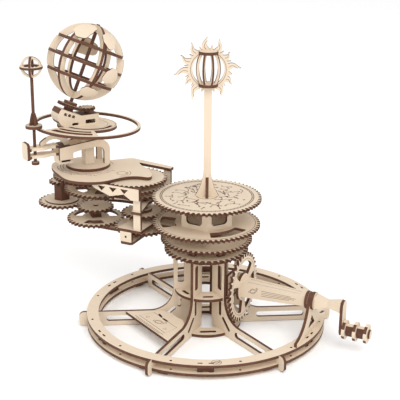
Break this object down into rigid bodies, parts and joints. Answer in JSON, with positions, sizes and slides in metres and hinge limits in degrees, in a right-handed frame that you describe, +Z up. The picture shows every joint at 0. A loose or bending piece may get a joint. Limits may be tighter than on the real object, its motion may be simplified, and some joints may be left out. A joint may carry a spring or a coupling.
{
  "type": "orrery",
  "caption": "Laser-cut plywood model of the Sun, Earth and Moon: a hand crank swings a geared arm with a tilted globe and a Moon round a flaming Sun.",
  "frame": {"origin": "on the column's axis at the floor, in the centre of the bottom disc's round hole", "axes": "+Z up along the column, +X along the crank shaft towards the handle; at rest the Earth arm lies along -X"},
  "size_m": [0.3734, 0.262, 0.3022],
  "materials": {
    "birch": "matt",
    "birch_gear": "matt"
  },
  "bodies": {
    "base": {"base_ring_upper": "birch", "base_ring_lower": "birch", "ring_feet": "birch", "spokes": "birch", "column_disc_bottom": "birch", "column_disc_middle": "birch", "column_disc_top": "birch", "centre_tube": "birch", "name_plate": "birch", "crank_post": "birch", "crank_inner_bearing": "birch", "low_sun_gear": "birch_gear", "sun_drum": "birch", "top_sun_gear": "birch_gear", "sun_post": "birch", "sun_lantern": "birch", "sun_flames": "birch"},
    "crank": {"crank_gear": "birch_gear", "crank_shaft": "birch", "crank_arm": "birch"},
    "handle": {"handle_spool": "birch"},
    "crown": {"crown_gear": "birch_gear", "drive_gear": "birch_gear", "crown_spacers": "birch"},
    "arm": {"arm_plate": "birch", "arm_plate_lower": "birch", "arm_brackets": "birch", "arm_plate_middle": "birch", "arm_posts": "birch", "platform_truss": "birch", "earth_platform": "birch", "arm_axles": "birch"},
    "idler": {"idler_gear": "birch_gear"},
    "planet": {"planet_gear": "birch_gear", "planet_pinion": "birch_gear"},
    "lower": {"lower_gear": "birch_gear", "lower_pinion": "birch_gear"},
    "outer": {"outer_gear": "birch_gear", "outer_pinion": "birch_gear"},
    "middle": {"middle_gear": "birch_gear"},
    "upper": {"upper_planet": "birch_gear"},
    "day": {"day_gear": "birch_gear", "day_shaft": "birch_gear"},
    "earth_mount": {"mount_gear": "birch_gear", "earth_column": "birch", "moon_track": "birch", "tilt_block": "birch"},
    "moon_carrier": {"moon_gear": "birch_gear", "moon_hub": "birch", "moon_side_plates": "birch", "moon_joint_block": "birch", "moon_decks": "birch", "moon_end_plate": "birch"},
    "moon_rod": {"moon_rod": "birch", "moon": "birch"},
    "globe": {"globe_gear": "birch_gear", "globe_axle": "birch", "globe_meridians": "birch", "globe_latitudes": "birch", "globe_land": "birch"}
  },
  "joints": [
    {"name": "arm_orbit", "type": "hinge", "parent": "base", "child": "arm", "pos_m": [0, 0, 0.101], "axis": [0, 0, 1], "continuous": true},
    {"name": "crown_turn", "type": "hinge", "parent": "base", "child": "crown", "pos_m": [0, 0, 0.082], "axis": [0, 0, 1], "continuous": true},
    {"name": "crank_turn", "type": "hinge", "parent": "base", "child": "crank", "pos_m": [0.0393, 0, 0.0485], "axis": [1, 0, 0], "continuous": true},
    {"name": "handle_spin", "type": "hinge", "parent": "crank", "child": "handle", "pos_m": [0.15, 0, 0.0247], "axis": [1, 0, 0], "continuous": true},
    {"name": "idler_turn", "type": "hinge", "parent": "arm", "child": "idler", "pos_m": [-0.0731, 0, 0.0935], "axis": [0, 0, 1], "continuous": true},
    {"name": "planet_turn", "type": "hinge", "parent": "arm", "child": "planet", "pos_m": [-0.0731, 0, 0.109], "axis": [0, 0, 1], "continuous": true},
    {"name": "lower_turn", "type": "hinge", "parent": "arm", "child": "lower", "pos_m": [-0.13005, 0, 0.0935], "axis": [0, 0, 1], "continuous": true},
    {"name": "outer_turn", "type": "hinge", "parent": "arm", "child": "outer", "pos_m": [-0.1717, 0, 0.1055], "axis": [0, 0, 1], "continuous": true},
    {"name": "middle_turn", "type": "hinge", "parent": "arm", "child": "middle", "pos_m": [-0.1241, 0, 0.128], "axis": [0, 0, 1], "continuous": true},
    {"name": "upper_turn", "type": "hinge", "parent": "arm", "child": "upper", "pos_m": [-0.08262, 0, 0.1367], "axis": [0, 0, 1], "continuous": true},
    {"name": "day_turn", "type": "hinge", "parent": "arm", "child": "day", "pos_m": [-0.1377, 0, 0.1367], "axis": [0, 0, 1], "continuous": true},
    {"name": "mount_turn", "type": "hinge", "parent": "arm", "child": "earth_mount", "pos_m": [-0.1377, 0, 0.1407], "axis": [0, 0, 1], "continuous": true},
    {"name": "moon_orbit", "type": "hinge", "parent": "arm", "child": "moon_carrier", "pos_m": [-0.1377, 0, 0.1518], "axis": [0, 0, 1], "continuous": true},
    {"name": "moon_lift", "type": "slide", "parent": "moon_carrier", "child": "moon_rod", "axis": [0, 0, 1], "range_m": [0, 0.003]},
    {"name": "globe_spin", "type": "hinge", "parent": "earth_mount", "child": "globe", "pos_m": [-0.1377, 0, 0.262], "axis": [0.2224, 0.3298, 0.9175], "continuous": true}
  ],
  "couplings": [
    {"joint": "crown_turn", "follows": "arm_orbit", "ratio": -1.841},
    {"joint": "crank_turn", "follows": "arm_orbit", "ratio": 2.22},
    {"joint": "idler_turn", "follows": "arm_orbit", "ratio": 4.5628},
    {"joint": "planet_turn", "follows": "arm_orbit", "ratio": 2.5833},
    {"joint": "lower_turn", "follows": "arm_orbit", "ratio": -4.4286},
    {"joint": "outer_turn", "follows": "arm_orbit", "ratio": 3.3214},
    {"joint": "middle_turn", "follows": "arm_orbit", "ratio": -1.1071},
    {"joint": "upper_turn", "follows": "arm_orbit", "ratio": 1.8333},
    {"joint": "day_turn", "follows": "arm_orbit", "ratio": -2.0625},
    {"joint": "mount_turn", "follows": "arm_orbit", "ratio": -1},
    {"joint": "moon_orbit", "follows": "arm_orbit", "ratio": -2.619},
    {"joint": "globe_spin", "follows": "arm_orbit", "ratio": 0.70833}
  ]
}
